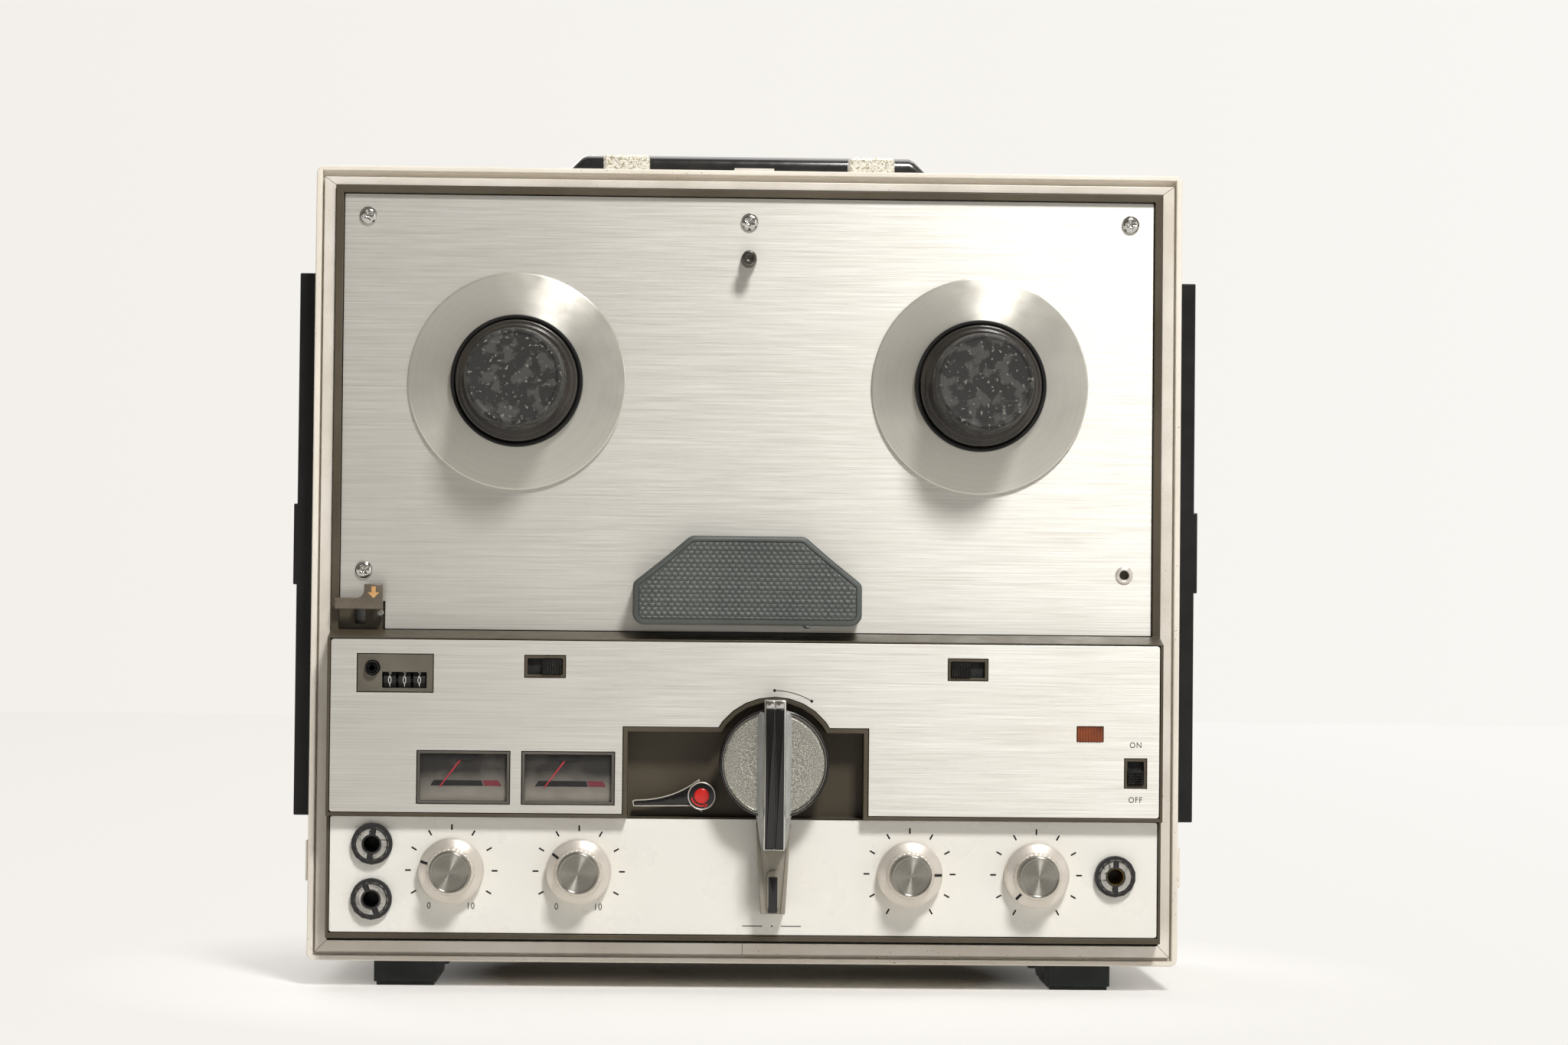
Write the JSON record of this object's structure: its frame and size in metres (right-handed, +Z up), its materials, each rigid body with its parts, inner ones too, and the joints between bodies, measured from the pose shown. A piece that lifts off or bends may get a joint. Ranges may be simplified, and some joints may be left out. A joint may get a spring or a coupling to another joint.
{
  "type": "portable reel-to-reel tape recorder",
  "caption": "Portable reel-to-reel tape recorder in a cream case, with reel turntables, head cover, function knob, two level meters, side doors and carrying handle.",
  "frame": {"origin": "middle of the whole recorder's box, on the surface that the feet stand on", "axes": "+X to the right seen from the front, +Y from the front to the rear, +Z up"},
  "size_m": [0.3588, 0.193, 0.3378],
  "materials": {
    "cream_paint": "cream spray paint, satin, slightly yellowed",
    "trim_aluminium": "satin aluminium band, scuffed",
    "bezel_plastic": "brown-grey moulded plastic, satin",
    "brushed_aluminium": "brushed along its length, clear coated",
    "cream_enamel": "cream enamel, smooth satin",
    "spun_aluminium": "turned on a lathe, bright rings",
    "black_plastic": "black moulded plastic, glossy",
    "black_rubber": "aged rubber with grey bloom",
    "cover_plastic": "dark grey plastic, basket-weave texture",
    "chrome": "bright plating",
    "steel": "zinc-plated steel",
    "brass": "turned brass and worn gold plating",
    "amber_plastic": "ribbed amber lens",
    "red_paint": "red lacquer",
    "grey_plastic": "grey meter face behind a clear window",
    "circuit_resin": "phenolic board",
    "speaker_paper": "black pressed paper cone"
  },
  "bodies": {
    "recorder": {"case_shell": "cream_paint", "rear_cover": "cream_paint", "front_trim": "trim_aluminium", "deck_bezel": "bezel_plastic", "deck_plate": "brushed_aluminium", "control_plate": "brushed_aluminium", "lower_plate": "cream_enamel", "chassis_plate": "steel", "front_left_foot": "black_rubber", "front_right_foot": "black_rubber", "rear_left_foot": "black_rubber", "rear_right_foot": "black_rubber", "left_handle_bracket": "brass", "right_handle_bracket": "brass", "left_speaker": "speaker_paper", "right_speaker": "speaker_paper", "head_cover": "cover_plastic", "head_block": "chrome", "counter_body": "bezel_plastic", "level_meters": "grey_plastic", "pilot_lens": "amber_plastic", "microphone_jacks": "chrome", "headphone_jack": "chrome", "motor": "steel", "drive_belt": "black_rubber", "transformer": "steel", "circuit_board": "circuit_resin", "battery_box": "black_plastic", "mains_inlet": "black_plastic"},
    "left_reel": {"left_reel_disc": "spun_aluminium", "left_reel_hub": "bezel_plastic"},
    "right_reel": {"right_reel_disc": "spun_aluminium", "right_reel_hub": "bezel_plastic"},
    "left_cap": {"left_reel_cap": "black_rubber"},
    "right_cap": {"right_reel_cap": "black_rubber"},
    "capstan": {"capstan": "steel"},
    "motor_pulley": {"motor_pulley": "brass"},
    "pinch_arm": {"pinch_roller_arm": "steel"},
    "pinch_roller": {"pinch_roller": "black_rubber"},
    "pause": {"pause_lever": "bezel_plastic"},
    "function": {"function_knob": "chrome"},
    "fast_wind": {"fast_wind_lever": "bezel_plastic"},
    "record": {"record_lever": "black_plastic"},
    "track_slider": {"track_switch_slider": "black_plastic"},
    "speed_slider": {"speed_switch_slider": "black_plastic"},
    "speaker_slider": {"speaker_switch_slider": "black_plastic"},
    "counter_hundreds": {"counter_wheel_hundreds": "black_plastic"},
    "counter_tens": {"counter_wheel_tens": "black_plastic"},
    "counter_units": {"counter_wheel_units": "black_plastic"},
    "counter_reset": {"counter_reset_button": "black_plastic"},
    "left_needle": {"left_meter_needle": "red_paint"},
    "right_needle": {"right_meter_needle": "red_paint"},
    "left_volume": {"left_volume_knob": "spun_aluminium"},
    "right_volume": {"right_volume_knob": "spun_aluminium"},
    "left_tone": {"left_tone_knob": "spun_aluminium"},
    "right_tone": {"right_tone_knob": "spun_aluminium"},
    "left_door": {"left_speaker_door": "black_plastic"},
    "right_door": {"right_speaker_door": "black_plastic"},
    "handle": {"handle": "black_plastic"},
    "battery_door": {"battery_door": "cream_paint"}
  },
  "joints": [
    {"name": "left_reel_spin", "type": "hinge", "parent": "recorder", "child": "left_reel", "pos_m": [-0.0913, -0.0635, 0.238], "axis": [0, 1, 0], "continuous": true},
    {"name": "right_reel_spin", "type": "hinge", "parent": "recorder", "child": "right_reel", "pos_m": [0.0913, -0.0635, 0.238], "axis": [0, 1, 0], "continuous": true},
    {"name": "left_cap_pull", "type": "slide", "parent": "left_reel", "child": "left_cap", "axis": [0, -1, 0], "range_m": [0, 0.025]},
    {"name": "right_cap_pull", "type": "slide", "parent": "right_reel", "child": "right_cap", "axis": [0, -1, 0], "range_m": [0, 0.025]},
    {"name": "capstan_spin", "type": "hinge", "parent": "recorder", "child": "capstan", "pos_m": [0.024, -0.0635, 0.1438], "axis": [0, 1, 0], "continuous": true},
    {"name": "motor_spin", "type": "hinge", "parent": "recorder", "child": "motor_pulley", "pos_m": [-0.04, -0.0355, 0.205], "axis": [0, 1, 0], "continuous": true},
    {"name": "function_turn", "type": "hinge", "parent": "recorder", "child": "function", "pos_m": [0.011, -0.0635, 0.0893], "axis": [0, 1, 0], "range_deg": [0, 31]},
    {"name": "pinch_swing", "type": "hinge", "parent": "recorder", "child": "pinch_arm", "pos_m": [0.002, -0.0635, 0.16], "axis": [0, 1, 0], "range_deg": [0, 5.3]},
    {"name": "pinch_roller_spin", "type": "hinge", "parent": "pinch_arm", "child": "pinch_roller", "pos_m": [0.024, -0.0635, 0.1545], "axis": [0, 1, 0], "continuous": true},
    {"name": "pause_slide", "type": "slide", "parent": "recorder", "child": "pause", "axis": [0, 0, -1], "range_m": [0, 0.005]},
    {"name": "fast_wind_swing", "type": "hinge", "parent": "recorder", "child": "fast_wind", "pos_m": [0.011, -0.0635, 0.0893], "axis": [0, 1, 0], "range_deg": [-12, 12], "stiffness_Nm_per_rad": 0.2},
    {"name": "record_lift", "type": "hinge", "parent": "recorder", "child": "record", "pos_m": [-0.017, -0.0635, 0.0761], "axis": [0, 1, 0], "range_deg": [0, 25], "stiffness_Nm_per_rad": 0.02, "springref_deg": -17.19},
    {"name": "track_switch", "type": "slide", "parent": "recorder", "child": "track_slider", "axis": [-1, 0, 0], "range_m": [0, 0.0056]},
    {"name": "speed_switch", "type": "slide", "parent": "recorder", "child": "speed_slider", "axis": [1, 0, 0], "range_m": [0, 0.0052]},
    {"name": "speaker_switch", "type": "slide", "parent": "recorder", "child": "speaker_slider", "axis": [0, 0, 1], "range_m": [0, 0.0033]},
    {"name": "counter_units_turn", "type": "hinge", "parent": "recorder", "child": "counter_units", "pos_m": [-0.12737, -0.0713, 0.12028], "axis": [1, 0, 0], "continuous": true},
    {"name": "counter_tens_turn", "type": "hinge", "parent": "recorder", "child": "counter_tens", "pos_m": [-0.1331, -0.0713, 0.12028], "axis": [1, 0, 0], "continuous": true},
    {"name": "counter_hundreds_turn", "type": "hinge", "parent": "recorder", "child": "counter_hundreds", "pos_m": [-0.13883, -0.0713, 0.12028], "axis": [1, 0, 0], "continuous": true},
    {"name": "counter_reset_press", "type": "slide", "parent": "recorder", "child": "counter_reset", "axis": [0, 1, 0], "range_m": [0, 0.002], "stiffness_N_per_m": 150, "springref_m": -0.0005},
    {"name": "left_needle_swing", "type": "hinge", "parent": "recorder", "child": "left_needle", "pos_m": [-0.10978, -0.075, 0.09085], "axis": [0, -1, 0], "range_deg": [0, 74], "stiffness_Nm_per_rad": 0.0001, "springref_deg": -11.46},
    {"name": "right_needle_swing", "type": "hinge", "parent": "recorder", "child": "right_needle", "pos_m": [-0.06907, -0.075, 0.09085], "axis": [0, -1, 0], "range_deg": [0, 74], "stiffness_Nm_per_rad": 0.0001, "springref_deg": -11.46},
    {"name": "left_volume_turn", "type": "hinge", "parent": "recorder", "child": "left_volume", "pos_m": [-0.1142, -0.0635, 0.0462], "axis": [0, 1, 0], "range_deg": [-78, 222]},
    {"name": "right_volume_turn", "type": "hinge", "parent": "recorder", "child": "right_volume", "pos_m": [-0.0646, -0.0635, 0.0462], "axis": [0, 1, 0], "range_deg": [-95, 205]},
    {"name": "left_tone_turn", "type": "hinge", "parent": "recorder", "child": "left_tone", "pos_m": [0.0646, -0.0635, 0.0462], "axis": [0, 1, 0], "range_deg": [-240, 60]},
    {"name": "right_tone_turn", "type": "hinge", "parent": "recorder", "child": "right_tone", "pos_m": [0.1142, -0.0635, 0.0462], "axis": [0, 1, 0], "range_deg": [-12, 288]},
    {"name": "left_door_swing", "type": "hinge", "parent": "recorder", "child": "left_door", "pos_m": [-0.1713, 0.0765, 0.1735], "axis": [0, 0, -1], "range_deg": [0, 90]},
    {"name": "right_door_swing", "type": "hinge", "parent": "recorder", "child": "right_door", "pos_m": [0.1713, 0.0765, 0.1735], "axis": [0, 0, 1], "range_deg": [0, 90]},
    {"name": "handle_swing", "type": "hinge", "parent": "recorder", "child": "handle", "pos_m": [0, -0.0115, 0.328], "axis": [1, 0, 0], "range_deg": [0, 90]},
    {"name": "battery_door_swing", "type": "hinge", "parent": "recorder", "child": "battery_door", "pos_m": [0, 0.0965, 0.0243], "axis": [-1, 0, 0], "range_deg": [0, 100]}
  ],
  "couplings": [
    {"joint": "motor_spin", "follows": "capstan_spin", "ratio": 4.8571},
    {"joint": "pinch_swing", "follows": "function_turn", "ratio": 0.17},
    {"joint": "counter_units_turn", "follows": "left_reel_spin", "ratio": 0.05},
    {"joint": "counter_tens_turn", "follows": "left_reel_spin", "ratio": 0.005},
    {"joint": "counter_hundreds_turn", "follows": "left_reel_spin", "ratio": 0.0005}
  ]
}
